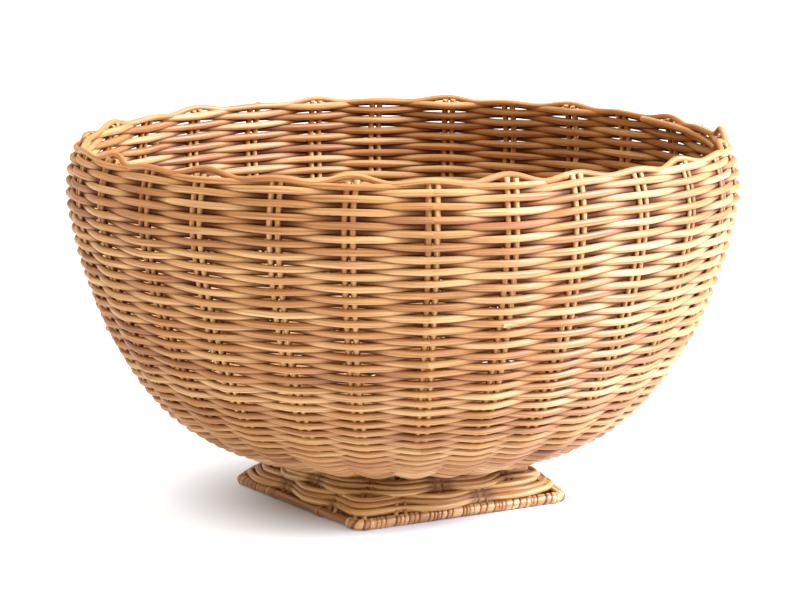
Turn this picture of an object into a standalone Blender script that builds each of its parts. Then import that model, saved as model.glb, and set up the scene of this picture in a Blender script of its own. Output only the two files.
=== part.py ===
"""A round woven bowl basket on a square wrapped foot.

The wall is one turned sheet. Pairs of rods run up its middle, the woven courses close round them, a wavy
border strand lies over the rod ends, and a skirt with rods of its own joins the floor to the foot rails.
"""

import math

import bmesh
import bpy
import numpy as np
from mathutils import Matrix, Vector

MM = 0.001

# Driving dimensions, in metres
ROD = 2.6 * MM                     # diameter of a stake rod
WEAVER = 3.1 * MM                  # diameter of a woven strand
BORDER_STRAND = 3.2 * MM           # diameter of the strand along the rim
CLEARANCE = 0.3 * MM               # gap between any two pieces

PAIR_COUNT = 28                    # rod pairs round the bowl
PAIR_GAP = 1.0 * MM                # between the two rods of a pair
FIRST_PAIR_ANGLE = math.radians(-116.55)

WALL_RADIUS = 170.6 * MM           # middle of the wall at its widest level
FLOOR_HEIGHT = 24.9 * MM           # middle of the bowl's floor above the ground
BOWL_DEPTH = 141.1 * MM            # from the widest level down to the middle of the floor
BELLY_POWER = 1.39                 # exponent of the outline down its height
FLOOR_POWER = 3.96                 # exponent of the outline across its width
RIM_RISE = 21.3 * MM               # wall above the widest level
RIM_TURN_IN = 4.0 * MM             # how far the wall leans in over that rise

FLOOR_RADIUS = 44.0 * MM           # round woven base inside the first course
COURSES = ("lower_weave", "middle_weave", "upper_weave")
STEPS_PER_COURSE = 3               # straight stretches of a course's outline

BORDER_WAVE = 1.1 * MM             # rise of the border strand over each pair, and dip between pairs
BORDER_STEPS = 4                   # straight stretches of the border strand for each pair
UNDER_BORDER = 0.2 * MM            # gap that a rod tip keeps under the border strand, past the clearance

FOOT_SIDE = 128.2 * MM             # outer side of the square foot
RAIL = 6.0 * MM                    # height and width of a wrapped rail
RAIL_EDGE = 1.7 * MM               # rounding of a rail's long edges
CORNER_ARM = 9.0 * MM              # length of rail that each corner binding takes up
CORNER_BEND = 4.0 * MM             # bend of a corner binding, along the middle of the rail
SKIRT_TOP_RADIUS = 60.0 * MM       # outer radius of the skirt under the floor
SKIRT_INSET = 2.6 * MM             # skirt's outer face inside the foot's outer face
SKIRT_CORNER_CUT = 9.0 * MM        # corner radius of the skirt's outer face
STAKES_PER_SIDE = 4                # foot stakes between two corners
FOOT_ROD = 2.6 * MM

# Sizes that follow from them
WALL = ROD + 2 * WEAVER            # wall with a weaver on each side of the rods
PAIR_WIDTH = 2 * ROD + PAIR_GAP    # across the two rods of a pair
PAIR_STEP = 2 * math.pi / PAIR_COUNT
FACETS = 2 * PAIR_COUNT            # sides of the turned pieces
WIDEST_HEIGHT = FLOOR_HEIGHT + BOWL_DEPTH
FLOOR_UNDERSIDE = FLOOR_HEIGHT - WALL / 2
WALL_TOP = WIDEST_HEIGHT + RIM_RISE
RIM_MIDDLE = WALL_RADIUS - RIM_TURN_IN
BORDER_HEIGHT = WALL_TOP + CLEARANCE + BORDER_STRAND / 2 + BORDER_WAVE
STAKE_TOP = BORDER_HEIGHT + BORDER_WAVE - BORDER_STRAND / 2 - CLEARANCE - UNDER_BORDER
SKIRT_BOTTOM = RAIL + CLEARANCE
SKIRT_TOP = FLOOR_UNDERSIDE - CLEARANCE
SKIRT_WALL = FOOT_ROD + 2 * WEAVER
FOOT_PAIR_WIDTH = 2 * FOOT_ROD + PAIR_GAP
RAIL_MIDDLE = (FOOT_SIDE - RAIL) / 2
RUN_OUT = WEAVER                   # how far a slot cutter runs past the ends of the slots


def collection(name, hidden=False):
    group = bpy.data.collections.new(name)
    group.hide_render = hidden
    bpy.context.scene.collection.children.link(group)
    return group


def material(name, colour, roughness):
    made = bpy.data.materials.new(name)
    made.use_nodes = True
    shader = made.node_tree.nodes["Principled BSDF"]
    shader.inputs["Base Color"].default_value = (*colour, 1.0)
    shader.inputs["Roughness"].default_value = roughness
    shader.inputs["Metallic"].default_value = 0.0
    return made


def placed(name, mesh, group, colour, roughness=0.5):
    """A named object in its collection, with its own material."""
    obj = bpy.data.objects.new(name, mesh)
    mesh.materials.clear()
    mesh.materials.append(material(name, colour, roughness))
    group.objects.link(obj)
    return obj


def wall_path(samples=400):
    """Radius, height and running length along the middle of the wall, from the centre of the floor up."""
    turn = np.linspace(0.0, math.pi / 2, samples)
    radius = WALL_RADIUS * np.sin(turn) ** (2 / FLOOR_POWER)
    height = WIDEST_HEIGHT - BOWL_DEPTH * np.cos(turn) ** (2 / BELLY_POWER)
    rise = np.linspace(0.0, 1.0, samples // 8)[1:]
    radius = np.append(radius, WALL_RADIUS - RIM_TURN_IN * rise**2)
    height = np.append(height, WIDEST_HEIGHT + RIM_RISE * rise)
    length = np.concatenate([[0.0], np.cumsum(np.hypot(np.diff(radius), np.diff(height)))])
    return radius, height, length


def along_wall(start, stop, count):
    """Points and outward normals at even steps of length along the middle of the wall."""
    radius, height, length = wall_path()
    where = np.linspace(start, stop, count)
    points = np.stack([np.interp(where, length, radius), np.interp(where, length, height)], 1)
    near = 0.5 * MM
    ahead = np.stack([np.interp(where + near, length, radius), np.interp(where + near, length, height)], 1)
    behind = np.stack([np.interp(where - near, length, radius), np.interp(where - near, length, height)], 1)
    along = ahead - behind
    along /= np.linalg.norm(along, axis=1)[:, None]
    return points, np.stack([along[:, 1], -along[:, 0]], 1)


def length_at_radius(wanted):
    """Length along the wall, from the centre of the floor, where the floor reaches a radius."""
    radius, _, length = wall_path()
    widest = radius.argmax()
    return float(np.interp(wanted, radius[:widest], length[:widest]))


def length_at_height(wanted):
    _, height, length = wall_path()
    return float(np.interp(wanted, height, length))


def strip_outline(start, stop, count, half_thickness):
    """Closed outline of a strip that follows the wall: down its outer side, then back up its inner side."""
    points, normals = along_wall(start, stop, count)
    outer = points + normals * half_thickness
    inner = points - normals * half_thickness
    return [tuple(p) for p in outer[::-1]] + [tuple(p) for p in inner]


def turned(name, outline, group, colour, start_angle=0.0):
    """A closed outline of radius and height, turned a full circle by a Screw modifier."""
    mesh = bpy.data.meshes.new(name)
    shape = bmesh.new()
    corners = [shape.verts.new((radius, 0.0, height)) for radius, height in outline]
    for first, second in zip(corners, corners[1:] + corners[:1]):
        if first.co.x > 0 or second.co.x > 0:
            shape.edges.new((first, second))
    shape.to_mesh(mesh)
    shape.free()
    obj = placed(name, mesh, group, colour)
    obj.rotation_euler.z = start_angle
    screw = obj.modifiers.new("turn", "SCREW")
    screw.steps = screw.render_steps = FACETS
    screw.use_merge_vertices = True
    screw.merge_threshold = 0.00001
    screw.use_normal_calculate = True
    return obj


def meridian_strip(shape, outline, width, angle):
    """Adds a strip of the given width whose outline lies in the upright plane at an angle."""
    across = Vector((-math.sin(angle), math.cos(angle), 0.0))
    out = Vector((math.cos(angle), math.sin(angle), 0.0))
    corners = [
        shape.verts.new(out * radius + Vector((0, 0, height)) - across * width / 2)
        for radius, height in outline
    ]
    face = shape.faces.new(corners)
    moved = bmesh.ops.extrude_face_region(shape, geom=[face])["geom"]
    verts = [item for item in moved if isinstance(item, bmesh.types.BMVert)]
    bmesh.ops.translate(shape, verts=verts, vec=across * width)


def pair_angle(index):
    return FIRST_PAIR_ANGLE + index * PAIR_STEP


def clean(shape):
    bmesh.ops.recalc_face_normals(shape, faces=shape.faces)


def pair_outline(half_thickness, top, run_out=0.0):
    """Outline of a rod pair seen from the side: along the wall from the floor's edge, up to a height."""
    start = length_at_radius(FLOOR_RADIUS) + 2 * CLEARANCE
    count = len(COURSES) * STEPS_PER_COURSE + 1
    points, normals = along_wall(start, length_at_height(WALL_TOP), count)
    points = np.vstack([points, points[-1] + (0.0, top - WALL_TOP)])
    normals = np.vstack([normals, normals[-1]])
    if run_out:
        along = np.array([-normals[0, 1], normals[0, 0]])
        points = np.vstack([points[0] - along * run_out, points])
        normals = np.vstack([normals[0], normals])
    outer = points + normals * half_thickness
    inner = points - normals * half_thickness
    return [tuple(p) for p in outer[::-1]] + [tuple(p) for p in inner]


def stake_pairs(group, colour):
    """One bent strip for each pair of rods, from the edge of the floor up to the border strand."""
    outline = pair_outline(ROD / 2, STAKE_TOP)
    for index in range(PAIR_COUNT):
        shape = bmesh.new()
        meridian_strip(shape, outline, PAIR_WIDTH, pair_angle(index))
        clean(shape)
        mesh = bpy.data.meshes.new("stake_pair")
        shape.to_mesh(mesh)
        shape.free()
        placed(f"stake_pair_{index + 1:02d}", mesh, group, colour)


def slot_cutter(group):
    """The room for all the rod pairs, as one cutter: each slot is a pair and its clearance."""
    outline = pair_outline(ROD / 2 + CLEARANCE, WALL_TOP + RUN_OUT, RUN_OUT)
    shape = bmesh.new()
    for index in range(PAIR_COUNT):
        meridian_strip(shape, outline, PAIR_WIDTH + 2 * CLEARANCE, pair_angle(index))
    clean(shape)
    mesh = bpy.data.meshes.new("wall_slots")
    shape.to_mesh(mesh)
    shape.free()
    cutter = bpy.data.objects.new("wall_slots", mesh)
    group.objects.link(cutter)
    cutter.hide_render = True
    cutter.display_type = "WIRE"
    return cutter


def cut_by(obj, cutter):
    boolean = obj.modifiers.new("slots", "BOOLEAN")
    boolean.operation = "DIFFERENCE"
    boolean.solver = "EXACT"
    boolean.object = cutter


def wall_courses(group, cutter, colour):
    """The woven wall as stacked courses, each a turned band with a slot for every rod pair."""
    start = length_at_radius(FLOOR_RADIUS) + CLEARANCE
    stop = length_at_height(WALL_TOP)
    height = (stop - start) / len(COURSES)
    for index, name in enumerate(COURSES):
        low = start + index * height + (CLEARANCE / 2 if index else 0.0)
        high = start + (index + 1) * height - (CLEARANCE / 2 if index < len(COURSES) - 1 else 0.0)
        outline = strip_outline(low, high, STEPS_PER_COURSE + 1, WALL / 2)
        band = turned(name, outline, group, colour, FIRST_PAIR_ANGLE)
        cut_by(band, cutter)


def bowl_floor(group, colour):
    """The round woven base: a flat disc inside the first course."""
    shape = bmesh.new()
    bmesh.ops.create_cone(
        shape,
        cap_ends=True,
        segments=FACETS,
        radius1=FLOOR_RADIUS,
        radius2=FLOOR_RADIUS,
        depth=WALL,
        matrix=Matrix.Translation((0, 0, FLOOR_HEIGHT)),
    )
    mesh = bpy.data.meshes.new("bowl_floor")
    shape.to_mesh(mesh)
    shape.free()
    placed("bowl_floor", mesh, group, colour)


def tube(name, points, diameter, group, colour, closed):
    """A round strand along points, made a mesh with its caps welded."""
    curve = bpy.data.curves.new(name, "CURVE")
    curve.dimensions = "3D"
    curve.bevel_depth = diameter / 2
    curve.bevel_resolution = 1
    curve.use_fill_caps = True
    spline = curve.splines.new("POLY")
    spline.points.add(len(points) - 1)
    for target, point in zip(spline.points, points):
        target.co = (*point, 1.0)
    spline.use_cyclic_u = closed
    drawn = bpy.data.objects.new(name + "_path", curve)
    bpy.context.scene.collection.objects.link(drawn)
    bpy.context.view_layer.update()
    mesh = bpy.data.meshes.new_from_object(drawn.evaluated_get(bpy.context.evaluated_depsgraph_get()))
    bpy.data.objects.remove(drawn)
    bpy.data.curves.remove(curve)
    shape = bmesh.new()
    shape.from_mesh(mesh)
    bmesh.ops.remove_doubles(shape, verts=shape.verts, dist=0.00001)
    clean(shape)
    shape.to_mesh(mesh)
    shape.free()
    mesh.shade_smooth()
    return placed(name, mesh, group, colour)


def border_strand(group, colour):
    """One strand round the rim that rises over each rod pair and dips between pairs."""
    points = []
    steps = BORDER_STEPS * PAIR_COUNT
    for step in range(steps):
        angle = FIRST_PAIR_ANGLE + step * 2 * math.pi / steps
        height = BORDER_HEIGHT + BORDER_WAVE * math.cos(PAIR_COUNT * (angle - FIRST_PAIR_ANGLE))
        points.append((RIM_MIDDLE * math.cos(angle), RIM_MIDDLE * math.sin(angle), height))
    tube("border_strand", points, BORDER_STRAND, group, colour, closed=True)


def rail_section(shape, steps):
    """The section of the wrapped rails: a square face with rounded corners, upright and facing along Y."""
    bmesh.ops.create_grid(shape, x_segments=1, y_segments=1, size=RAIL / 2)
    bmesh.ops.bevel(
        shape,
        geom=list(shape.verts),
        offset=RAIL_EDGE,
        segments=steps,
        profile=0.5,
        affect="VERTICES",
        material=-1,
    )
    upright = Matrix.Rotation(math.radians(90), 3, "X")
    bmesh.ops.rotate(shape, verts=shape.verts, cent=(0, 0, 0), matrix=upright)
    return shape.verts[:] + shape.edges[:] + shape.faces[:]


def drawn_out(shape, section, way):
    """Extrudes a section, its face with its edges and corners, and returns the section at the new end."""
    moved = bmesh.ops.extrude_face_region(shape, geom=section)["geom"]
    verts = [item for item in moved if isinstance(item, bmesh.types.BMVert)]
    bmesh.ops.translate(shape, verts=verts, vec=way)
    return moved


def foot_piece(name, shape, quarter, group, colour):
    """Turns a piece of the foot to its side or corner and places it."""
    spin = Matrix.Rotation(math.pi / 2 * quarter, 3, "Z")
    bmesh.ops.rotate(shape, verts=shape.verts, cent=(0, 0, 0), matrix=spin)
    clean(shape)
    mesh = bpy.data.meshes.new(name)
    shape.to_mesh(mesh)
    shape.free()
    placed(name, mesh, group, colour)


def foot_rails(group, colour):
    """Four straight wrapped rails with rounded long edges and a flat underside."""
    length = FOOT_SIDE - 2 * CORNER_ARM - 2 * CLEARANCE
    for quarter, side in enumerate(("right", "back", "left", "front")):
        shape = bmesh.new()
        section = rail_section(shape, 2)
        bmesh.ops.translate(shape, verts=shape.verts, vec=(RAIL_MIDDLE, -length / 2, RAIL / 2))
        drawn_out(shape, section, (0, length, 0))
        foot_piece(f"foot_rail_{side}", shape, quarter, group, colour)


def corner_bindings(group, colour):
    """An elbow of cane binding round each corner of the foot, the same section as the rails."""
    end = FOOT_SIDE / 2 - CORNER_ARM
    arm = RAIL_MIDDLE - CORNER_BEND - end
    centre = (RAIL_MIDDLE - CORNER_BEND, RAIL_MIDDLE - CORNER_BEND, 0.0)
    for quarter, corner in enumerate(("back_right", "back_left", "front_left", "front_right")):
        shape = bmesh.new()
        section = rail_section(shape, 1)
        bmesh.ops.translate(shape, verts=shape.verts, vec=(RAIL_MIDDLE, end, RAIL / 2))
        before_bend = drawn_out(shape, section, (0, arm, 0))
        bend = bmesh.ops.spin(
            shape, geom=before_bend, cent=centre, axis=(0, 0, 1), dvec=(0, 0, 0), angle=math.pi / 2, steps=3
        )
        drawn_out(shape, bend["geom_last"], (-arm, 0, 0))
        foot_piece(f"corner_binding_{corner}", shape, quarter, group, colour)


def square_radius(angle, half, cut):
    """Distance from the centre to a square with rounded corners, in the direction of an angle."""
    inner = half - cut
    x, y = abs(math.cos(angle)), abs(math.sin(angle))
    flat = half / max(x, y)
    if min(x, y) * flat <= inner:
        return flat
    ahead = inner * (x + y)
    return ahead + math.sqrt(max(ahead**2 - 2 * inner**2 + cut**2, 0.0))


def skirt_place(angle, share, offset):
    """A point of the skirt: share 0 at the rails to 1 at the floor, offset inwards from its outer face."""
    low = square_radius(angle, FOOT_SIDE / 2 - SKIRT_INSET - offset, SKIRT_CORNER_CUT)
    radius = low + (SKIRT_TOP_RADIUS - offset - low) * share
    height = SKIRT_BOTTOM + (SKIRT_TOP - SKIRT_BOTTOM) * share
    return Vector((radius * math.cos(angle), radius * math.sin(angle), height))


def skirt_along(angle, share):
    """Unit direction along the skirt's wall at a point, level with the ground."""
    near = math.radians(1.0)
    ahead = skirt_place(angle + near, share, SKIRT_WALL / 2)
    behind = skirt_place(angle - near, share, SKIRT_WALL / 2)
    return (ahead - behind).normalized()


def foot_stake_angles():
    """Directions of the foot stakes: evenly spaced along each side, clear of the corners."""
    half = FOOT_SIDE / 2
    for side in range(4):
        for step in range(1, STAKES_PER_SIDE + 1):
            along = -half + FOOT_SIDE * step / (STAKES_PER_SIDE + 1)
            yield math.pi / 2 * side + math.atan2(along, half)


def foot_stake_bar(shape, angle, width, thickness, run_out=0.0):
    """Adds a straight bar that runs up inside the skirt's wall, cut level at both ends."""
    past = run_out / (SKIRT_TOP - SKIRT_BOTTOM)
    verts = []
    for share in (-past, 1.0 + past):
        place = skirt_place(angle, share, SKIRT_WALL / 2)
        across = skirt_along(angle, share)
        out = Vector((across.y, -across.x, 0.0))
        for side, depth in ((-1, -1), (1, -1), (1, 1), (-1, 1)):
            verts.append(shape.verts.new(place + across * side * width / 2 + out * depth * thickness / 2))
    bmesh.ops.convex_hull(shape, input=verts)


def foot_stakes(group, colour):
    for index, angle in enumerate(foot_stake_angles()):
        shape = bmesh.new()
        foot_stake_bar(shape, angle, FOOT_PAIR_WIDTH, FOOT_ROD)
        clean(shape)
        mesh = bpy.data.meshes.new("foot_stake")
        shape.to_mesh(mesh)
        shape.free()
        placed(f"foot_stake_{index + 1:02d}", mesh, group, colour)


def foot_skirt(group, cutters, colour):
    """The woven skirt, lofted from the rounded square on the rails to the circle under the floor."""
    around = 4 * 2 * (STAKES_PER_SIDE + 1)
    shape = bmesh.new()
    loops = []
    for share, offset in ((0.0, 0.0), (1.0, 0.0), (1.0, SKIRT_WALL), (0.0, SKIRT_WALL)):
        ring = []
        for step in range(around):
            angle = math.pi / 4 + step * 2 * math.pi / around
            ring.append(shape.verts.new(skirt_place(angle, share, offset)))
        loops.append(ring)
    for first, second in zip(loops, loops[1:] + loops[:1]):
        for step in range(around):
            after = (step + 1) % around
            shape.faces.new((first[step], first[after], second[after], second[step]))
    clean(shape)
    mesh = bpy.data.meshes.new("foot_skirt")
    shape.to_mesh(mesh)
    shape.free()
    skirt = placed("foot_skirt", mesh, group, colour)

    slots = bmesh.new()
    room = 2 * CLEARANCE
    for angle in foot_stake_angles():
        foot_stake_bar(slots, angle, FOOT_PAIR_WIDTH + room, FOOT_ROD + room, RUN_OUT)
    clean(slots)
    cutter_mesh = bpy.data.meshes.new("skirt_slots")
    slots.to_mesh(cutter_mesh)
    slots.free()
    cutter = bpy.data.objects.new("skirt_slots", cutter_mesh)
    cutters.objects.link(cutter)
    cutter.hide_render = True
    cutter.display_type = "WIRE"
    cut_by(skirt, cutter)


def build():
    for obj in list(bpy.data.objects):
        bpy.data.objects.remove(obj)
    basket = collection("wicker_basket")
    cutters = collection("cutters", hidden=True)
    cane = (0.70, 0.45, 0.22)
    cane_dark = (0.58, 0.34, 0.15)
    stake_pairs(basket, cane_dark)
    wall_courses(basket, slot_cutter(cutters), cane)
    bowl_floor(basket, cane)
    border_strand(basket, cane)
    foot_rails(basket, cane_dark)
    corner_bindings(basket, cane_dark)
    foot_stakes(basket, cane_dark)
    foot_skirt(basket, cutters, cane)


build()
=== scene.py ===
# %% [markdown]
# # A woven wicker bowl on a square foot
#
# The basket is rattan core: long round strands that a maker soaks, bends and weaves. Twenty-eight pairs of
# rods stand up from a round woven floor. Two strands chase each other round them, one row after another,
# each in front of a pair and behind the next. A last strand waves over the rod tips as a rim. Below the
# floor a woven skirt widens into a square foot, whose rods are wound with split cane.
#
# Everything here is made from strands, so the lesson is mostly about one idea: write down the path that a
# strand takes, lay a tube along it, and let many of them make the cloth of the basket.

# %% Load the frame
import math

import bmesh
import bpy
import numpy as np
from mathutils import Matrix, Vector


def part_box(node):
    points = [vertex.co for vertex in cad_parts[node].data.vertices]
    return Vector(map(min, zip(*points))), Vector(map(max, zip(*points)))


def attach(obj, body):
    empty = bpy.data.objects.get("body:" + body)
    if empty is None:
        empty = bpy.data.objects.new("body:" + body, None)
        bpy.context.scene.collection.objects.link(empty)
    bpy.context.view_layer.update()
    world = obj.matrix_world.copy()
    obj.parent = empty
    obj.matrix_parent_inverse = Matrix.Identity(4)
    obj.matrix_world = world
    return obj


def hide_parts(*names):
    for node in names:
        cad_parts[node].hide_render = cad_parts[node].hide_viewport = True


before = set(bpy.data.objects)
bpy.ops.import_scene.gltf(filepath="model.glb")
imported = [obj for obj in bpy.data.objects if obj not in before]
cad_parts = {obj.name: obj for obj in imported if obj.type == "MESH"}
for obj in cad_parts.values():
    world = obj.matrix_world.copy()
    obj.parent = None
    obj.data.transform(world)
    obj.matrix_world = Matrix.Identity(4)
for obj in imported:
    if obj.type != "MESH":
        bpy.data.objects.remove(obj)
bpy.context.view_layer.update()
MM = 0.001

# %% [markdown]
# ## Sizes
#
# These are the maker's measures: the thickness of each strand, the number of rod pairs, and the outline of
# the wall. The outline is one curve from the middle of the floor to the rim, a superellipse, with a short
# lean inwards above the widest place. The sizes of the foot are read from the frame where the foot is made.

# %% Strands and counts
ROD_RADIUS = 1.72 * MM             # stake rods
BORDER_RADIUS = 1.65 * MM          # strand along the rim
SKIRT_RADIUS = 1.80 * MM           # strands of the foot's skirt
PAIR_COUNT = 28
PAIR_STEP = 2 * math.pi / PAIR_COUNT
FIRST_PAIR = math.radians(-116.55)  # direction of the first rod pair
PAIR_GAP = 4.25 * MM               # between the middles of the two rods of a pair
WOVEN_ROWS = 78                    # rows from the round floor to the rim
IN_AND_OUT = ROD_RADIUS + 0.4 * MM  # how far a strand stands off the middle of the wall
print(PAIR_COUNT, "rod pairs,", WOVEN_ROWS, "rows")
print("first pair at", round(math.degrees(FIRST_PAIR), 1), "degrees")

# %% The outline of the wall
WALL_RADIUS = 172.0 * MM
WIDEST_HEIGHT = 166.0 * MM
BOWL_DEPTH = 141.1 * MM
BELLY_POWER = 1.39
FLOOR_POWER = 3.96
RIM_RISE = 21.3 * MM               # from the widest place to the rim
RIM_TURN_IN = 4.0 * MM
PAST_RIM = 1.6                     # the outline runs on past the rim, to this many times the rise
FLOOR_RADIUS = 44.0 * MM
FLOOR_HEIGHT = WIDEST_HEIGHT - BOWL_DEPTH
WALL_TOP = WIDEST_HEIGHT + RIM_RISE


def wall_outline(samples=600):
    """Radius and height along the middle of the wall, from the centre of the floor to the rim."""
    turn = np.linspace(0.0, math.pi / 2, samples)
    radius = WALL_RADIUS * np.sin(turn) ** (2 / FLOOR_POWER)
    height = WIDEST_HEIGHT - BOWL_DEPTH * np.cos(turn) ** (2 / BELLY_POWER)
    rise = np.linspace(0.0, PAST_RIM, samples // 5)[1:]
    radius = np.append(radius, WALL_RADIUS - RIM_TURN_IN * rise**2)
    height = np.append(height, WIDEST_HEIGHT + RIM_RISE * rise)
    return radius, height


outline_radius, outline_height = wall_outline()
outline_length = np.concatenate(
    [[0.0], np.cumsum(np.hypot(np.diff(outline_radius), np.diff(outline_height)))]
)


def length_at_radius(radius):
    """Length along the outline to a place on the floor or the lower wall."""
    rising = outline_radius.argmax()
    return float(np.interp(radius, outline_radius[:rising], outline_length[:rising]))


def length_at_height(height):
    """Length along the outline to a place on the wall."""
    return float(np.interp(height, outline_height, outline_length))


print("wall length from the floor's edge in mm:", round((length_at_height(WALL_TOP)
      - length_at_radius(FLOOR_RADIUS)) / MM, 1))

# %% A handmade bowl isn't quite true
SIDEWAYS = np.array([0.856, -0.518, 0.0])    # towards the side that the finished bowl leans to
BACKWARDS = np.array([0.518, 0.856, 0.0])    # towards the side where its rim stands highest
LEAN = 1.8 * MM                    # how far the rim leans sideways
TILT = 1.0 * MM                    # how much higher the rim stands at the back
SAG = 1.6 * MM                     # how far the rim hangs at the two sides


def settle(points):
    """Moves points of a true bowl to where they are on this one."""
    share = np.clip((points[..., 2:] - FLOOR_HEIGHT) / (WALL_TOP - FLOOR_HEIGHT), 0, 1.1)
    back = points @ BACKWARDS / WALL_RADIUS
    aside = points @ SIDEWAYS / WALL_RADIUS
    moved = points + share * LEAN * SIDEWAYS
    moved[..., 2] += TILT * back - SAG * aside**2 * share[..., 0]**2
    return moved


def on_wall(length, angle, offset):
    """Points on the wall: length along the outline, angle round the bowl, offset outwards from its middle."""
    length, angle, offset = np.broadcast_arrays(length, angle, offset)
    near = 0.8 * MM                              # the slope is taken this far to each side
    radius = np.interp(length, outline_length, outline_radius)
    height = np.interp(length, outline_length, outline_height)
    along_r = np.interp(length + near, outline_length, outline_radius)
    along_r = along_r - np.interp(length - near, outline_length, outline_radius)
    along_z = np.interp(length + near, outline_length, outline_height)
    along_z = along_z - np.interp(length - near, outline_length, outline_height)
    size = np.hypot(along_r, along_z)
    radius = radius + offset * along_z / size
    height = height - offset * along_r / size
    return settle(np.stack([radius * np.cos(angle), radius * np.sin(angle), height], -1))


print("widest place, across the middle of the wall:", round(2 * WALL_RADIUS / MM, 1), "mm")

# %% [markdown]
# ## Laying strands
#
# A strand is a thin tube along a path. A poly curve with a bevel does exactly that, and one curve can hold
# many strands. When the curve becomes a mesh, each point of a path turns into one ring of corners, in order,
# so it is easy to write three things onto the mesh: a UV map that runs along and around the strand, for grain
# that follows it; a tone, which lets every strand be a little lighter or browner than the next; and a painted
# shade mask, from the hollows of the weave, where painted shade is darkest, to the strands that stand out.

# %% Helpers for paths
rng = np.random.default_rng(28)
WANDER_WAVES = 4


def drift(length, reach, size):
    """A slow wander along a strand: a few waves of random phase, about reach long and size high."""
    total = np.zeros_like(length)
    for _ in range(WANDER_WAVES):
        wave = reach * rng.uniform(0.5, 1.8)
        total += np.sin(2 * math.pi * length / wave + rng.uniform(0, 2 * math.pi))
    return size * total / 2.0


def ring_drift(angle, most_waves, size):
    """A wander that closes on itself round the bowl."""
    total = np.zeros_like(angle)
    for _ in range(WANDER_WAVES):
        waves = rng.integers(1, most_waves + 1)
        total += np.sin(waves * angle + rng.uniform(0, 2 * math.pi))
    return size * total / 2.0


def smooth_path(points, spacing):
    """A smooth path through a few points, sampled about every spacing."""
    points = np.asarray(points, float)
    ends = np.vstack([2 * points[0] - points[1], points, 2 * points[-1] - points[-2]])
    made = []
    for before, start, stop, after in zip(ends, ends[1:], ends[2:], ends[3:]):
        count = max(int(np.linalg.norm(stop - start) / spacing), 1)
        t = (np.arange(count) / count)[:, None]
        made.append(0.5 * (2 * start + (stop - before) * t
                           + (2 * before - 5 * start + 4 * stop - after) * t**2
                           + (3 * start - before - 3 * stop + after) * t**3))
    made.append(points[-1:])
    return np.vstack(made)


# %% A strand
THICKNESS_WAVE = 90 * MM           # length over which a strand gets thicker and thinner
TONE_WAVE = 160 * MM               # and over which it gets lighter and browner
TONE_CHANGE = 0.12


class Strand:
    """One strand: its path, its radius along it, its tone along it, and whether it closes on itself."""

    def __init__(self, path, radius, tone=None, closed=False, fray=0.03):
        self.path = np.asarray(path, float)
        steps = np.linalg.norm(np.diff(self.path, axis=0), axis=1)
        self.length = np.concatenate([[0.0], np.cumsum(steps)])
        self.closed = closed
        thickness = 1 + (drift(self.length, THICKNESS_WAVE, fray) if fray else 0.0)
        self.radius = np.broadcast_to(radius, self.length.shape) * thickness
        base = rng.uniform(0.25, 0.85) if tone is None else tone
        self.tone = np.clip(base + drift(self.length, TONE_WAVE, TONE_CHANGE), 0, 1)


# %% Where the weave gets painted shade
STANDS_OUT = IN_AND_OUT + 1.8 * MM  # as far as a strand's outer side stands from the middle of the wall


def wall_shade_mask(points):
    """Painted shade mask: 0 in the hollows at the middle of the wall, 1 on the strands that stand out on
    either side.
    """
    points = 2 * points - settle(points)         # back to the true bowl
    eye = WALL_TOP + 20 * MM                     # a point above the rim, from which the whole wall is seen
    seen = np.arctan2(eye - outline_height, outline_radius)
    far = np.hypot(outline_radius, eye - outline_height)
    across = np.hypot(points[:, 0], points[:, 1])
    turn = np.arctan2(eye - points[:, 2], across)
    apart = np.hypot(across, eye - points[:, 2]) - np.interp(turn, seen[::-1], far[::-1])
    return np.clip(np.abs(apart) / STANDS_OUT, 0, 1)


def no_painted_shade(points):
    """No painted shade, for pieces that stand clear of the weave."""
    return np.ones(len(points))


print("a strand stands out", round(STANDS_OUT / MM, 2), "mm from the middle of the wall")


# %% Turn strands into a mesh
SHARP_CUT = math.radians(55)       # the edge of a cut end stays sharp


def lay(name, strands, sides=10, painted_shade_mask=wall_shade_mask):
    """Lays a tube along every strand and returns one mesh object with its UV map, tone and painted shade
    mask.
    """
    curve = bpy.data.curves.new(name, "CURVE")
    curve.dimensions = "3D"
    curve.bevel_depth = 1.0
    curve.bevel_resolution = sides // 2 - 2
    for strand in strands:
        spline = curve.splines.new("POLY")
        spline.points.add(len(strand.path) - 1)
        spline.points.foreach_set("co", np.column_stack([strand.path, np.ones(len(strand.path))]).ravel())
        spline.points.foreach_set("radius", strand.radius)
        spline.use_cyclic_u = strand.closed
    drawn = bpy.data.objects.new(name, curve)
    bpy.context.scene.collection.objects.link(drawn)
    bpy.context.view_layer.update()
    mesh = bpy.data.meshes.new_from_object(drawn.evaluated_get(bpy.context.evaluated_depsgraph_get()))
    bpy.data.objects.remove(drawn)
    bpy.data.curves.remove(curve)
    write_strand_marks(mesh, strands, sides)
    corners = np.zeros(len(mesh.vertices) * 3, np.float32)
    mesh.vertices.foreach_get("co", corners)
    shade_mask_values = painted_shade_mask(corners.reshape(-1, 3).astype(float)).astype(np.float32)
    # the mask that places painted shade in the hollows of the weave
    mesh.attributes.new("painted_shade_mask", "FLOAT", "POINT").data.foreach_set("value", shade_mask_values)
    if not all(strand.closed for strand in strands):
        cap_ends(mesh)
    mesh.name = name
    mesh.shade_smooth()
    mesh.set_sharp_from_angle(angle=SHARP_CUT)
    obj = bpy.data.objects.new(name, mesh)
    bpy.context.scene.collection.objects.link(obj)
    return obj


# %% Write the marks that the finish reads
GRAIN_ROUND = 0.01                 # once round any strand is this much of the UV map
GRAIN_SHIFT = 50                   # strands start at places up to this far along the grain


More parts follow.
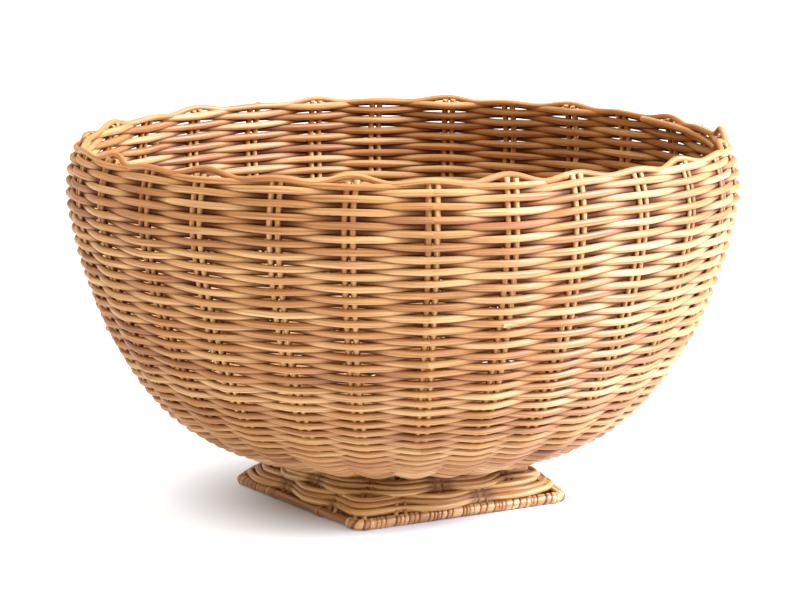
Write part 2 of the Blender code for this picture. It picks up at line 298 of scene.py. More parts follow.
def write_strand_marks(mesh, strands, sides):
    """Writes the UV map and the tone, ring by ring."""
    corners_of = [len(strand.path) * sides for strand in strands]
    assert len(mesh.vertices) == sum(corners_of), (len(mesh.vertices), sum(corners_of))
    along = np.repeat(np.concatenate([strand.length for strand in strands]), sides)
    tone = np.repeat(np.concatenate([strand.tone for strand in strands]), sides)
    whole = np.repeat([strand.length[-1] + np.linalg.norm(strand.path[0] - strand.path[-1])
                       for strand in strands], corners_of)
    shift = np.repeat(rng.uniform(0, GRAIN_SHIFT, len(strands)), corners_of)
    mesh.attributes.new("tone", "FLOAT", "POINT").data.foreach_set("value", tone.astype(np.float32))
    corners = np.zeros(len(mesh.loops), np.int32)
    mesh.loops.foreach_get("vertex_index", corners)
    corners = corners.reshape(-1, 4)
    side = corners % sides                       # a face where the tube closes counts on past the last side
    wraps = (side.max(1) - side.min(1) > 1)[:, None]
    around = np.where(wraps & (side == 0), sides, side) / sides
    u = along[corners]                           # and where a ring of weaving closes, past its whole length
    closes = (u.max(1) - u.min(1) > 0.5 * whole[corners[:, 0]])[:, None]
    u = np.where(closes & (u < 0.5 * whole[corners]), u + whole[corners], u)
    u = u + shift[corners]
    layer = mesh.uv_layers[0] if mesh.uv_layers else mesh.uv_layers.new()
    layer.name = "strand_uv"
    layer.uv.foreach_set("vector", np.stack([u, around * GRAIN_ROUND], -1).astype(np.float32).ravel())


def cap_ends(mesh):
    """Closes the cut ends of the strands."""
    shape = bmesh.new()
    shape.from_mesh(mesh)
    rims = [edge for edge in shape.edges if edge.is_boundary]
    bmesh.ops.holes_fill(shape, edges=rims, sides=0)
    bmesh.ops.recalc_face_normals(shape, faces=shape.faces)
    shape.to_mesh(mesh)
    shape.free()


# %% [markdown]
# ## Rattan
#
# Peeled rattan core is pale straw to honey brown, with fine fibres along the strand, darker stretches and a
# few small specks. The skin of split cane is smoother and redder. One function builds every finish: the tone
# on the mesh picks the colour, and noise stretched along the UV map draws the fibres, which also lift the
# surface a little. The hollows between the strands get painted shade, a red-brown darkening read from the
# painted shade mask on the mesh, which also takes the gloss away there. Strands that stand out keep their
# colour.

# %% Helpers for a finish
def stretched_noise(tree, uv, scale, detail):
    """Noise on the strand's UV map, with its own scale along and around the strand."""
    mapping = tree.nodes.new("ShaderNodeMapping")
    mapping.inputs["Scale"].default_value = (*scale, 1)
    tree.links.new(uv, mapping.inputs["Vector"])
    noise = tree.nodes.new("ShaderNodeTexNoise")
    noise.inputs["Scale"].default_value = 1.0
    noise.inputs["Detail"].default_value = detail
    tree.links.new(mapping.outputs["Vector"], noise.inputs["Vector"])
    return noise.outputs["Fac"]


def mark_on_mesh(tree, name):
    """A number that was written on the mesh."""
    mark = tree.nodes.new("ShaderNodeAttribute")
    mark.attribute_name = name
    return mark.outputs["Fac"]


def in_range(tree, value, start, stop, low, high, smooth=False):
    """A value between start and stop, brought between low and high."""
    spread = tree.nodes.new("ShaderNodeMapRange")
    spread.interpolation_type = "SMOOTHSTEP" if smooth else "LINEAR"
    for name, number in (("From Min", start), ("From Max", stop), ("To Min", low), ("To Max", high)):
        spread.inputs[name].default_value = number
    tree.links.new(value, spread.inputs["Value"])
    return spread.outputs["Result"]


def arithmetic(tree, operation, *terms):
    """A sum in the finish. Each term is a number or what another node gives."""
    sum_node = tree.nodes.new("ShaderNodeMath")
    sum_node.operation = operation
    for socket, term in zip(sum_node.inputs, terms):
        if isinstance(term, float):
            socket.default_value = term
        else:
            tree.links.new(term, socket)
    return sum_node


def stained_or_shaded(tree, colour, overlay_colour, amount, blend="MULTIPLY"):
    """A colour with another laid over it, as far as amount says; used for fibres, specks and painted shade.
    """
    mix = tree.nodes.new("ShaderNodeMix")
    mix.data_type = "RGBA"
    mix.blend_type = blend
    tree.links.new(colour, mix.inputs["A"])
    mix.inputs["B"].default_value = (*overlay_colour, 1)
    tree.links.new(amount, mix.inputs["Factor"])
    return mix.outputs["Result"]


# %% The colour of a strand
PATCH_SCALE = (38, 120)            # of noise along a strand and round it: the higher, the finer
SPECK_SCALE = (260, 700)
FIBRE_SCALE = (22, 1150)           # long along the strand and narrow round it
PATCHES = 0.42                     # how far patches along a strand change its tone
FIBRE_STAIN = (0.56, 0.38, 0.23)
# painted shade: the colour that darkens the hollows of the weave
HOLLOW_SHADE_COLOUR = (0.27, 0.145, 0.070)
SPECK_COLOUR = (0.16, 0.065, 0.025)


def strand_colour(tree, uv, fibres, hollow_shade, dark, middle, pale):
    """From dark to pale by tone, then the fibres, the specks and the painted shade of the hollows over it."""
    patches = stretched_noise(tree, uv, PATCH_SCALE, 2.0)
    lowered = arithmetic(tree, "SUBTRACT", mark_on_mesh(tree, "tone"), PATCHES / 2)
    tone = arithmetic(tree, "MULTIPLY_ADD", patches, PATCHES, lowered.outputs[0])
    ramp = tree.nodes.new("ShaderNodeValToRGB")
    ramp.color_ramp.elements[0].color = (*dark, 1)
    ramp.color_ramp.elements[1].color = (*pale, 1)
    ramp.color_ramp.elements.new(0.45).color = (*middle, 1)
    tree.links.new(tone.outputs[0], ramp.inputs["Fac"])
    grained = stained_or_shaded(tree, ramp.outputs["Color"], FIBRE_STAIN, in_range(tree, fibres, 0.42, 0.66, 0.0, 0.95))
    specks = in_range(tree, stretched_noise(tree, uv, SPECK_SCALE, 1.0), 0.735, 0.80, 0.0, 0.5)
    marked = stained_or_shaded(tree, grained, SPECK_COLOUR, specks, blend="MIX")
    # painted shade darkens the hollows of the weave
    return stained_or_shaded(tree, marked, HOLLOW_SHADE_COLOUR, hollow_shade)


# %% Finishes
DULL_HOLLOWS = 0.45                # how much rougher the hollows are
SHADE_BEGINS = 0.56               # mask value at which painted shade begins
SHADE_DARKEST = 0.04              # and at which it is darkest


def rattan(name, dark, middle, pale, roughness, coat, fibre_depth):
    """A rattan finish from three colours, read from a strand's tone, with fibres along the strand."""
    made = bpy.data.materials.new(name)
    made.use_nodes = True
    tree = made.node_tree
    shader = tree.nodes["Principled BSDF"]
    shader.inputs["IOR"].default_value = 1.55
    shader.inputs["Coat Weight"].default_value = coat
    shader.inputs["Coat Roughness"].default_value = 0.28
    uv_map = tree.nodes.new("ShaderNodeUVMap")
    uv_map.uv_map = "strand_uv"
    uv = uv_map.outputs["UV"]
    fibres = stretched_noise(tree, uv, FIBRE_SCALE, 3.0)
    painted_shade_mask = mark_on_mesh(tree, "painted_shade_mask")
    # painted shade in the hollows, from the mask; it also makes them rougher
    hollow_shade = in_range(tree, painted_shade_mask, SHADE_BEGINS, SHADE_DARKEST, 0.0, 1.0, smooth=True)
    tree.links.new(strand_colour(tree, uv, fibres, hollow_shade, dark, middle, pale), shader.inputs["Base Color"])
    gloss = in_range(tree, fibres, 0.0, 1.0, roughness - 0.07, roughness + 0.12)
    dull = arithmetic(tree, "MULTIPLY_ADD", hollow_shade, DULL_HOLLOWS, gloss)
    dull.use_clamp = True
    tree.links.new(dull.outputs[0], shader.inputs["Roughness"])
    bump = tree.nodes.new("ShaderNodeBump")
    bump.inputs["Strength"].default_value = 0.6
    bump.inputs["Distance"].default_value = fibre_depth
    tree.links.new(fibres, bump.inputs["Height"])
    tree.links.new(bump.outputs["Normal"], shader.inputs["Normal"])
    print("finish:", name)
    return made


# %% The six finishes
weaver_cane = rattan("weaver_cane", dark=(0.25, 0.082, 0.015), middle=(0.42, 0.190, 0.045),
                     pale=(0.59, 0.36, 0.148), roughness=0.52, coat=0.06, fibre_depth=0.12 * MM)
stake_cane = rattan("stake_cane", dark=(0.25, 0.088, 0.018), middle=(0.49, 0.245, 0.068),
                    pale=(0.66, 0.43, 0.185), roughness=0.50, coat=0.06, fibre_depth=0.10 * MM)
border_cane = rattan("border_cane", dark=(0.24, 0.080, 0.018), middle=(0.44, 0.190, 0.048),
                     pale=(0.60, 0.34, 0.130), roughness=0.50, coat=0.06, fibre_depth=0.12 * MM)
skirt_cane = rattan("skirt_cane", dark=(0.30, 0.105, 0.022), middle=(0.62, 0.320, 0.092),
                    pale=(0.76, 0.50, 0.215), roughness=0.42, coat=0.18, fibre_depth=0.12 * MM)
bare_rail_cane = rattan("bare_rail_cane", dark=(0.17, 0.055, 0.013), middle=(0.36, 0.135, 0.032),
                        pale=(0.50, 0.24, 0.070), roughness=0.40, coat=0.20, fibre_depth=0.06 * MM)
split_cane = rattan("split_cane", dark=(0.20, 0.060, 0.014), middle=(0.50, 0.235, 0.066),
                    pale=(0.72, 0.46, 0.19), roughness=0.44, coat=0.14, fibre_depth=0.06 * MM)


def finish_piece(piece, cane, slot_name, *nodes):
    """Gives a piece its finish and hands it to the frame in place of the nodes that it stands for."""
    piece.data.materials.clear()
    piece.data.materials.append(cane)
    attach(piece, "root")
    if nodes:
        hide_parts(*nodes)
    print(piece.name, len(piece.data.polygons), "faces")


# %% [markdown]
# ## Rod pairs
#
# Each pair is two round rods side by side, pushed in beside the spokes of the floor and bent up the wall.
# They follow the middle of the wall. A maker's hands leave each pair a little off its even place, and the
# weave goes with it, so the place of every pair is decided once, here, and used by the rods and by the rows.

# %% Where the pairs stand
pair_nudge = np.clip(rng.normal(0.0, 0.42, PAIR_COUNT), -0.9, 0.9)  # in degrees
pair_nudge[-5:] = (-0.9, -0.4, -1.4, 0.2, -0.4)                     # the pairs at the front
pair_nudge[:6] = (0.0, 0.0, -0.9, -0.8, -0.6, 0.0)
print("widest nudge of a pair, in degrees:", np.abs(pair_nudge).max())
pair_nudge = np.radians(pair_nudge)


def pair_angle(index):
    """Direction of a rod pair."""
    return FIRST_PAIR + index * PAIR_STEP + pair_nudge[index % PAIR_COUNT]


def angle_at(phase):
    """Angle round the bowl for a phase counted in pairs, so that a whole number falls on a pair."""
    index = np.arange(-1, PAIR_COUNT + 2)
    return np.interp(phase, index, [pair_angle(i) for i in index])


# %% Lay the rods
ROD_START = length_at_radius(FLOOR_RADIUS) - 6 * MM
TIP_HEIGHT = 190.7 * MM
ROD_POINTS = 60
pair_lean = rng.normal(0.0, 1.0, PAIR_COUNT) * 0.5 * MM  # how far the tips of a pair lean sideways


def rod(index, side):
    """One rod of a pair, from inside the floor to its cut tip beside the border strand."""
    tip = TIP_HEIGHT + rng.uniform(-0.8, 0.6) * MM
    length = np.linspace(ROD_START, length_at_height(tip), ROD_POINTS)
    radius = np.interp(length, outline_length, outline_radius)
    beside = side * PAIR_GAP / 2 * rng.uniform(0.92, 1.12) + drift(length, 120 * MM, 0.16 * MM)
    squeeze = np.interp(length, [ROD_START, ROD_START + 50 * MM], [0.8, 1.0])  # closer in the floor
    near_tip = np.clip((length - length[-1]) / (12 * MM) + 1, 0, 1)
    angle = pair_angle(index) + (beside * squeeze + pair_lean[index] * near_tip) / radius
    strand = Strand(on_wall(length, angle, drift(length, 80 * MM, 0.08 * MM)), ROD_RADIUS)
    strand.tone[-1] = 1.0                        # a fresh cut is pale
    return strand


for index in range(PAIR_COUNT):
    rods = lay(f"rods_{index + 1:02d}", [rod(index, -1), rod(index, 1)], sides=10)
    finish_piece(rods, stake_cane, "stake_rod", f"stake_pair_{index + 1:02d}")

# %% [markdown]
# ## The woven wall
#
# Plain weave: where one row is in front of a pair, the rows above and below it are behind. On a real bowl
# two long strands climb round and round. Here every row is a closed ring, which looks the same and is
# simpler. A springy strand held in front and behind by turns runs almost straight between two pairs and
# bends round them, so its distance from the middle of the wall is half way between a cosine and a zigzag,
# with one swing for every two pairs. Rows are beaten down hard, so they lie a little closer together than a
# strand is thick, and each wanders by a fraction of a millimetre, which opens a slit of light here and there.
#
# The two strands of a real bowl don't end at the same place. Past the end of one of them the rim is one row
# short, and the rows under it spread upwards to fill the height. The wall is laid in three pieces, as in the
# frame.

# %% How far apart the rows lie
TOP_STEP = 3.10 * MM
wall_start = length_at_radius(FLOOR_RADIUS)
TOP_ROW_HEIGHT = 187.9 * MM
woven_length = length_at_height(TOP_ROW_HEIGHT) - wall_start
row_step = np.linspace(TOP_STEP, 2 * woven_length / (WOVEN_ROWS - 0.5) - TOP_STEP, WOVEN_ROWS)
row_below = np.concatenate([[0.0], np.cumsum(row_step)])
SHORT_FROM, SHORT_TO = 1.1, 19.0   # where the rim is one row short, counted in pairs
SHORT_DEPTH = 24                   # rows that share the spare height
print("rows at the rim are", round(row_step[0] / MM, 2), "mm apart")
print("rows at the floor are", round(row_step[-1] / MM, 2), "mm apart")


def short_share(phase):
    """1 where the rim is one row short, 0 where it isn't, with a smooth change between."""
    phase = np.mod(phase, PAIR_COUNT)
    into = np.clip((phase - SHORT_FROM) / 1.4, 0, 1)    # over 1.4 pairs at one end
    out_of = np.clip((phase - SHORT_TO) / 2.0, 0, 1)    # and over 2 pairs at the other
    return into * into * (3 - 2 * into) - out_of * out_of * (3 - 2 * out_of)


ROUND_OFF = 0.985                  # below 1, it rounds the corners of the zigzag


def swing(phase):
    """In and out of the rods: 1 at a pair with an even number, -1 at the next."""
    wave = np.cos(math.pi * phase)
    zigzag = np.arcsin(ROUND_OFF * wave) / math.asin(ROUND_OFF)
    return (wave + zigzag) / 2


# %% One row of weaving
POINTS_PER_PAIR = 8
ROW_SWAY = 0.28 * MM
SWAY_WAVES = (2, 3, 5, 9, 14)      # times round the bowl
SLIMMER_OUTSIDE = 0.055            # share by which a strand is slimmer outside, where it is stretched
hand_phase = rng.uniform(0, 2 * math.pi, (len(SWAY_WAVES), 2))


def hand_sway(angle, row):
    """Rows rise and fall together a little, as the weaver's hand did."""
    sway = 0.0
    for waves, (round_phase, row_phase) in zip(SWAY_WAVES, hand_phase):
        sway = sway + np.sin(waves * angle + round_phase + row / 9 * waves**0.3) * np.cos(row / 7 + row_phase)
    return ROW_SWAY * sway


def woven_row(row):
    """A row counted down from the rim: behind the first pair when row is even, in front when it is odd."""
    phase = np.arange(PAIR_COUNT * POINTS_PER_PAIR) / POINTS_PER_PAIR
    angle = angle_at(phase)
    spread = short_share(phase) * max(1 - (row - 1) / SHORT_DEPTH, 0) * row_step[row]
    length = length_at_height(TOP_ROW_HEIGHT) - row_below[row] + spread
    length = length + hand_sway(angle, row) * min(row / 6, 1) + ring_drift(angle, 34, 0.11 * MM)
    side = -1 if row % 2 == 0 else 1
    offset = side * IN_AND_OUT * swing(phase) + ring_drift(angle, 60, 0.10 * MM)
    fullness = np.interp(row, [4, 28], [0.612, 0.635])   # over 0.5, rows press into each other
    radius = row_step[row] * fullness * rng.uniform(0.96, 1.04)
    pressed = 1 - SLIMMER_OUTSIDE * side * swing(phase)
    return Strand(on_wall(length, angle, offset), radius * pressed, closed=True, fray=0.04)


# %% Where a strand ran out
END_PLACES = np.array([-0.34, -0.26, -0.18, -0.10, -0.02, 0.05])     # in pairs, up to the pair and past it
END_OFFSETS = np.array([0.2, 1.0, 2.0, 2.8, 3.4, 3.9]) * MM          # out of the wall


def cut_end(row, index, heading):
    """The end of a strand, pushed in beside a pair: it rides up between two rows and was cut with a knife."""
    phase = np.mod(index + heading * END_PLACES, PAIR_COUNT)
    length = length_at_height(TOP_ROW_HEIGHT) - row_below[row] - 0.5 * row_step[row]
    face = 1 if rng.uniform() < 0.6 else -1
    offset = face * END_OFFSETS
    rise = np.linspace(-0.3, rng.uniform(0.2, 0.9), len(END_PLACES)) * MM
    path = on_wall(length + rise, angle_at(phase), offset)
    taper = np.linspace(0.51, 0.372, len(END_PLACES))    # of the distance between rows
    strand = Strand(path, taper * row_step[row], tone=0.55, fray=0.0)
    strand.tone[-1] = 1.0
    return strand


# %% Lay the rows
CUT_ENDS = 22
ends = []
for _ in range(CUT_ENDS):
    row = int(rng.integers(3, WOVEN_ROWS - 12))
    index = int(rng.integers(1, PAIR_COUNT - 1))
    ends.append((row, index, int(rng.choice([-1, 1]))))
wall_rows = {row: woven_row(row) for row in range(1, WOVEN_ROWS)}
course_height = woven_length / 3
for course, node in enumerate(("upper_weave", "middle_weave", "lower_weave")):
    in_course = [row for row in wall_rows if row_below[row] // course_height == course]
    rows = [wall_rows[row] for row in in_course]
    rows += [cut_end(*end) for end in ends if end[0] in in_course]
    piece = lay(node + "_strands", rows, sides=10)
    finish_piece(piece, weaver_cane, "weave_strand", node)

# %% [markdown]
# ## The round floor
#
# A round floor starts with two groups of four sticks laid across each other. Their ends are spread into
# sixteen spokes, and finer strands are woven round them until the rod pairs take over. The fan of each stick
# is a smooth path through a few points, and the rows are rings like those of the wall.

# %% Floor sticks
STICK_RADIUS = 1.5 * MM
STICKS = 4
SPOKES = 4 * STICKS


def floor_stick(group, place):
    """A stick across the floor: straight and side by side at the centre, spread like a fan at both ends."""
    from_middle = place - (STICKS - 1) / 2
    beside = from_middle * 2.1 * STICK_RADIUS
    fan = 2 * math.pi / SPOKES * from_middle
    half = [(r * math.cos(fan), r * math.sin(fan)) for r in (FLOOR_RADIUS + 3 * MM, 30 * MM, 18 * MM)]
    half.append((8 * MM, beside))
    line = [(-x, y) for x, y in half] + half[::-1]
    lift = STICK_RADIUS * (1 if group else -1)           # one group lies on the other
    heights = [0, 0, 0.3, 1, 1, 0.3, 0, 0]
    path = [(x, y, FLOOR_HEIGHT + lift * h) for (x, y), h in zip(line, heights)]
    path = smooth_path(path, 3 * MM)
    if group:
        path = path[:, [1, 0, 2]]
    return Strand(path, STICK_RADIUS)


# %% Floor rows
FINE_RADIUS = 1.2 * MM
FIRST_FLOOR_ROW = 13 * MM          # radius of the innermost row
FLOOR_ROWS = 12
FLOOR_STANDS_OUT = 2.6 * MM


def floor_row(row):
    """A row of the floor, round the spokes."""
    radius = FIRST_FLOOR_ROW + row * 2.35 * FINE_RADIUS
    phase = np.arange(SPOKES * 6) / 6
    angle = (phase - 0.5) * 2 * math.pi / SPOKES
    front = 1 if row % 2 else -1
    rise = front * (STICK_RADIUS + FINE_RADIUS) * np.cos(math.pi * phase)
    radius = radius + ring_drift(angle, 12, 0.12 * MM)
    path = np.stack([radius * np.cos(angle), radius * np.sin(angle), FLOOR_HEIGHT + rise], -1)
    return Strand(path, FINE_RADIUS, closed=True)


def floor_shade_mask(points):
    """Painted shade mask: 0 in the hollows of the floor, 1 on the strands that stand out."""
    return np.clip(np.abs(points[:, 2] - FLOOR_HEIGHT) / FLOOR_STANDS_OUT, 0, 1)


floor_strands = [floor_stick(group, place) for group in (0, 1) for place in range(STICKS)]
floor_strands += [floor_row(row) for row in range(FLOOR_ROWS)]
floor_piece = lay("floor_strands", floor_strands, 8, floor_shade_mask)
finish_piece(floor_piece, weaver_cane, "weave_strand", "bowl_floor")

# %% [markdown]
# ## The rim
#
# The rim is the last turn of the weave. It goes in and out like any row, but nothing holds it down, so it
# rises in an arch over every pair and dips onto the row below between pairs. The top row itself is that arch
# where the rim is one row short. Elsewhere a second strand lies over it, and its two ends run out beside it.
# One arch has sprung higher than the others, and a cut end shows inside the rim.

# %% The arch over each pair
RIM_DIP = 189.0 * MM
HIGH_ARCH = 2.9 * MM
LOW_ARCH = 1.5 * MM
ARCH_FULLNESS = 0.85               # below 1, an arch is fuller than a cosine
arch_change = (rng.uniform(-0.3, 0.3, PAIR_COUNT) + 0.5 * np.cos(np.arange(PAIR_COUNT) * PAIR_STEP)) * MM
arch_change[7] += 2.4 * MM         # one arch has sprung up
print("highest point of the rim in mm:", round((RIM_DIP + HIGH_ARCH + arch_change.max()) / MM, 1))


def arch(phase):
    """Height of the rim's strand: up over each pair, high and low in turn, and down between pairs."""
    nearest = np.round(phase).astype(int)
    index = nearest % PAIR_COUNT
    high = np.where((index >= 2) & (index <= 6), index % 2 == 0, index % 2 == 1)   # it changes over twice
    rise = np.where(high, HIGH_ARCH, LOW_ARCH) + arch_change[index]
    return RIM_DIP + rise * (0.5 + 0.5 * np.cos(2 * math.pi * (phase - nearest))) ** ARCH_FULLNESS


# %% Lay the rim
def rim_path(phase, height, offset):
    """Points over the wall at a height, with an offset outwards."""
    angle = angle_at(np.mod(phase, PAIR_COUNT))
    radius = np.interp(height, outline_height, outline_radius) + offset
    return settle(np.stack([radius * np.cos(angle), radius * np.sin(angle), height], -1))


def top_row():
    """The closed top row, which is the rim itself where the rim is one row short."""
    phase = np.arange(PAIR_COUNT * 12) / 12
    short = short_share(phase)
    height = short * arch(phase) + (1 - short) * TOP_ROW_HEIGHT
    offset = -IN_AND_OUT * swing(phase) + ring_drift(phase * PAIR_STEP, 40, 0.10 * MM)
    return Strand(rim_path(phase, height, offset), BORDER_RADIUS, tone=0.55, closed=True)


def last_strand():
    """The strand over the top row, from one of its ends to the other."""
    phase = np.linspace(SHORT_TO + 0.55, PAIR_COUNT + SHORT_FROM + 0.75, 130)
    from_end = np.minimum(phase - phase[0], phase[-1] - phase)
    tucked = 1 - np.clip(from_end / 0.8, 0, 1)           # over 0.8 of a pair at each end
    height = arch(phase) - 0.6 * MM * tucked
    offset = IN_AND_OUT * swing(phase)
    strand = Strand(rim_path(phase, height, offset), BORDER_RADIUS, tone=0.5)
    strand.tone[[0, -1]] = 1.0
    return strand


def loose_end():
    """A strand's end that lies on the inside of the rim, past where it was cut."""
    places = (7.3, 8.2, 9.5)                             # counted in pairs
    phase = np.linspace(places[0], places[-1], 24)
    height = np.interp(phase, places, (182.5, 187.2, 188.4)) * MM
    offset = -(IN_AND_OUT + 1.6 * MM) - 0.8 * MM * np.sin(math.pi * phase)
    strand = Strand(rim_path(phase, height, offset), BORDER_RADIUS, tone=0.6)
    strand.tone[[0, -1]] = 1.0
    return strand


border = lay("rim_strands", [top_row(), last_strand(), loose_end()], 12, no_painted_shade)
finish_piece(border, border_cane, "border_cane", "border_strand")

# %% [markdown]
# ## The foot
#
# The foot is a square of rod. Three sides are wound closely with split cane, turn against turn. The fourth
# is wound next to the back corner and at one place further on, and its bare rod shows. A winding is the same
# strand idea seen from close up: the rail is a tube with many rings, and each corner of the mesh is pushed
# out by how far across a turn of cane it lies, with the turns running round the rail like a screw thread. A
# height for every corner is quicker here than a separate strip for every turn, and leaves no gaps inside.

# %% The square of rails
FOOT_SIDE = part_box("foot_rail_right")[1].x * 2 + 3 * MM   # the cane stands proud of the rods
RAIL_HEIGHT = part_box("foot_rail_front")[1].z
RAIL_MIDDLE = FOOT_SIDE / 2 - RAIL_HEIGHT / 2
CORNER_BEND = 4.2 * MM
CORNER_ARM = FOOT_SIDE / 2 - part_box("foot_rail_front")[1].x      # how far a corner's winding reaches
print("foot in mm:", round(FOOT_SIDE / MM, 1), "square, rails", round(RAIL_HEIGHT / MM, 1), "high")


def foot_square(start, stop, spacing):
    """Points along the foot's square, by distance from the middle of its right side, counter-clockwise."""
    straight = 2 * (RAIL_MIDDLE - CORNER_BEND)
    bend = CORNER_BEND * math.pi / 2
    side_length = straight + bend
    count = int((stop - start) / spacing) + 1
    path = []
    for distance in np.linspace(start, stop, count):
        quarter, rest = divmod(distance + straight / 2, side_length)
        if rest <= straight:
            x, y = RAIL_MIDDLE, rest - straight / 2
        else:
            turn = (rest - straight) / CORNER_BEND
            x = RAIL_MIDDLE - CORNER_BEND * (1 - math.cos(turn))
            y = straight / 2 + CORNER_BEND * math.sin(turn)
        spin = quarter * math.pi / 2
        path.append((x * math.cos(spin) - y * math.sin(spin), x * math.sin(spin) + y * math.cos(spin),
                     RAIL_HEIGHT / 2))
    return np.array(path), side_length


# %% A wound rail
CORE_RADIUS = 2.35 * MM
WINDING = RAIL_HEIGHT / 2 - CORE_RADIUS
TURN_WIDTH = 3.3 * MM
RINGS_PER_TURN = 10
RAIL_SIDES = 24
BARE_TONE = 0.45                   # tone where the rod isn't wound
UNEVEN = 0.34                      # how far the turns drift along the rail, in turns
FLATNESS = 0.14                    # near 0, a turn is flat with steep edges


def wound_rail(name, start, stop, wound):
    """A stretch of the foot's square. Wound gives the share of winding at a distance along the stretch."""
    path, _ = foot_square(start, stop, TURN_WIDTH / RINGS_PER_TURN)
    strand = Strand(path, CORE_RADIUS, tone=0.5, fray=0.0)
    piece = lay(name, [strand], RAIL_SIDES, no_painted_shade)
    mesh = piece.data
    corners = np.zeros(len(mesh.vertices) * 3, np.float32)
    mesh.vertices.foreach_get("co", corners)
    corners = corners.reshape(-1, RAIL_SIDES, 3)
    along = strand.length[:, None]
    around = (np.arange(RAIL_SIDES) / RAIL_SIDES)[None, :]
    turn_place = along / TURN_WIDTH + around + drift(strand.length, 14 * MM, UNEVEN)[:, None]
    turn = np.floor(turn_place).astype(int)
    across = turn_place - turn
    turns = turn.max() + 2
    width = rng.uniform(0.74, 1.0, turns)[turn]
    thick = rng.uniform(0.80, 1.10, turns)[turn]
    dome = np.clip(1 - np.abs(across - 0.5) * 2 / width, 0, 1) ** FLATNESS
    share = wound(strand.length)[:, None]
    push = share * WINDING * dome * thick
    outward = corners - path[:, None, :]
    outward /= np.linalg.norm(outward, axis=2)[..., None]
    corners = corners + outward * push[..., None]
    corners[..., 2] = np.clip(corners[..., 2], 0.0, None)            # it stands flat
    mesh.vertices.foreach_set("co", corners.astype(np.float32).ravel())
    shades = rng.uniform(0.25, 0.9, turns)[turn]
    painted_gap_shade = np.clip(1.15 - dome * 1.5, 0, 1) * share                   # painted shade between turns
    tones = np.where(share > 0.5, shades - 0.8 * painted_gap_shade, BARE_TONE)
    mesh.attributes["tone"].data.foreach_set("value", tones.astype(np.float32).ravel())
    mesh.update()
    return piece


# %% Wind the rails
_, SIDE_LENGTH = foot_square(0, 1 * MM, 1 * MM)
ARM = SIDE_LENGTH / 2 - (FOOT_SIDE / 2 - CORNER_ARM)


def all_wound(length):
    """Winding all along the stretch."""
    return np.ones_like(length)


WOUND_AT_CORNER = 34 * MM          # how far the left rail is wound from the back corner
WOUND_FURTHER_ON = (78 * MM, 81 * MM)


def left_rail_winding(length):
    """The left side shows its bare rod, apart from the turns next to the back corner and one other."""
    first, last = WOUND_FURTHER_ON
    wound = (length < WOUND_AT_CORNER) | ((length > first) & (length < last))
    return wound.astype(float)


for quarter, side in enumerate(("right", "back", "left", "front")):
    start = quarter * SIDE_LENGTH - SIDE_LENGTH / 2 + ARM
    stop = quarter * SIDE_LENGTH + SIDE_LENGTH / 2 - ARM
    if side == "left":
        rail = wound_rail(f"rail_{side}", start, stop, left_rail_winding)
        finish_piece(rail, bare_rail_cane, "rail_core", f"foot_rail_{side}")
    else:
        rail = wound_rail(f"rail_{side}", start, stop, all_wound)
        finish_piece(rail, split_cane, "rail_binding", f"foot_rail_{side}")

for quarter, corner in enumerate(("back_right", "back_left", "front_left", "front_right")):
    middle = (quarter + 0.5) * SIDE_LENGTH
    piece = wound_rail(f"binding_{corner}", middle - ARM, middle + ARM, all_wound)
    finish_piece(piece, split_cane, "rail_binding", f"corner_binding_{corner}")

# %% [markdown]
# ## The skirt
#
# The skirt is woven round rods of its own: a pair at each corner and four pairs between two corners. Its
# lowest row lies on the square of rails and its highest under the round floor, so every row is a shape
# between the two. Three rows at a time go in front of a pair and behind the next, which makes the broad
# bundles at the corners. The rows climb a little towards the corners, where the square is widest.

# %% Shape between a square and a circle
SKIRT_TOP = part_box("foot_skirt")[1].z
SKIRT_BOTTOM = RAIL_HEIGHT
SKIRT_FOOT = SKIRT_BOTTOM + SKIRT_RADIUS * 0.45    # the lowest row beds down between the rails' turns
SKIRT_OUT = FOOT_SIDE / 2 - 2.7 * MM           # half side of the lowest row
SKIRT_BEND = 10 * MM                           # radius of its corners
SKIRT_TOP_RADIUS = 57.0 * MM
SKIRT_ROWS = 6
BUNDLE = 3                                     # rows that go in and out together
SKIRT_SWING = 2.4 * MM                         # how far they go in and out
CORNER_CLIMB = 0.9 * MM
FOOT_STAKES = 20                               # pairs round the foot
print("skirt from", round(SKIRT_BOTTOM / MM, 1), "to", round(SKIRT_TOP / MM, 1), "mm above the table")


# %% Points of the skirt
def square_radius(angle, half, bend):
    """Distance to a square with rounded corners in the direction of an angle."""
    x, y = np.abs(np.cos(angle)), np.abs(np.sin(angle))
    flat = half / np.maximum(x, y)
    inner = half - bend
    ahead = inner * (x + y)
    rounded = ahead + np.sqrt(np.maximum(ahead**2 - 2 * inner**2 + bend**2, 0))
    return np.where(np.minimum(x, y) * flat <= inner, flat, rounded)


def skirt_middle(angle, share):
    """Distance of the skirt's middle from the axis: share 0 on the rails to 1 under the floor."""
    low = square_radius(angle, SKIRT_OUT, SKIRT_BEND)
    return low + (SKIRT_TOP_RADIUS - low) * share


def skirt_point(angle, share, offset):
    """A point of the skirt, offset outwards. The rows climb towards the corners."""
    radius = skirt_middle(angle, share) + offset
    to_corner = np.where(np.abs(np.cos(2 * angle)) < 0.9, np.abs(np.sin(2 * angle)) ** 3, 0.0)
    climb = CORNER_CLIMB * to_corner * np.sin(math.pi * np.clip(share + 0.25, 0, 1))
    height = SKIRT_FOOT + (SKIRT_TOP - SKIRT_BOTTOM) * share + climb
    return np.stack([radius * np.cos(angle), radius * np.sin(angle), height + 0 * radius], -1)


SHELTERED = 0.18                   # the skirt's painted hollow shade is lighter than the wall's


